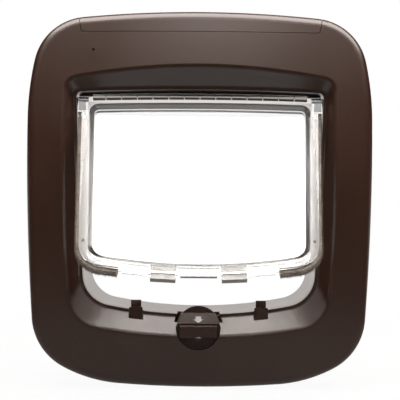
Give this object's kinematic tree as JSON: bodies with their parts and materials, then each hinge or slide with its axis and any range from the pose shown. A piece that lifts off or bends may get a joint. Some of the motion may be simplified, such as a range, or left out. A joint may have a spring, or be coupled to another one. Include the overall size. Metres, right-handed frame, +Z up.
{
  "type": "cat flap",
  "caption": "Indoor and outdoor frames clamped through a door, with a tunnel, a clear swinging flap, a rotary lock, a lifting latch and a battery bay.",
  "frame": {"origin": "middle of the four door screws on the room face of the door leaf", "axes": "+X to the right seen from the room, +Y out through the door leaf, +Z up"},
  "size_m": [0.2408, 0.146, 0.2614],
  "materials": {
    "brown_plastic": "satin moulded",
    "dark_brown_plastic": "satin moulded",
    "clear_plastic": "clear moulded",
    "pile": "woven brush pile",
    "magnet": "dull plated",
    "steel": "zinc plated",
    "solenoid": "plain",
    "bush": "moulded",
    "black_plastic": "moulded",
    "cell": "printed sleeve",
    "contact": "nickel plated",
    "board": "lacquered",
    "chip": "moulded",
    "light_guide": "clear moulded",
    "button": "moulded",
    "copper": "lacquered winding"
  },
  "bodies": {
    "frame": {"front_fascia": "brown_plastic", "tunnel_liner": "brown_plastic", "back_plate": "brown_plastic", "rear_frame": "brown_plastic", "frame_screws": "steel", "fascia_screws": "steel", "hinge_bush_left": "bush", "hinge_bush_right": "bush", "sill_magnet_left": "magnet", "sill_magnet_right": "magnet", "latch_solenoid": "solenoid", "battery_tray": "black_plastic", "battery_cell_low_left": "cell", "battery_cell_low_right": "cell", "battery_cell_high_left": "cell", "battery_cell_high_right": "cell", "battery_contacts": "contact", "circuit_board": "board", "board_chips": "chip", "light_guide": "light_guide", "reader_aerial": "copper"},
    "flap": {"flap_panel": "clear_plastic", "pile_left": "pile", "pile_right": "pile", "flap_magnet_left": "magnet", "flap_magnet_right": "magnet", "hinge_pin_left": "steel", "hinge_pin_right": "steel"},
    "knob": {"lock_knob": "dark_brown_plastic", "lock_cam": "dark_brown_plastic", "cam_screw": "steel"},
    "latch": {"latch_yoke": "dark_brown_plastic", "latch_plunger": "steel"},
    "cover": {"battery_cover": "brown_plastic"},
    "button": {"learn_button": "button"}
  },
  "joints": [
    {"name": "flap_swing", "type": "hinge", "parent": "frame", "child": "flap", "pos_m": [0, -0.016, 0.0686], "axis": [1, 0, 0], "range_deg": [-51, 114]},
    {"name": "knob_turn", "type": "hinge", "parent": "frame", "child": "knob", "pos_m": [0, -0.0304, -0.0879], "axis": [0, 1, 0], "continuous": true},
    {"name": "latch_lift", "type": "slide", "parent": "frame", "child": "latch", "axis": [0, 0, 1], "range_m": [0, 0.005]},
    {"name": "cover_lift", "type": "slide", "parent": "frame", "child": "cover", "axis": [0, 0, 1], "range_m": [0, 0.04]},
    {"name": "button_press", "type": "slide", "parent": "frame", "child": "button", "axis": [0, 0, -1], "range_m": [0, 0.001], "stiffness_N_per_m": 300}
  ]
}
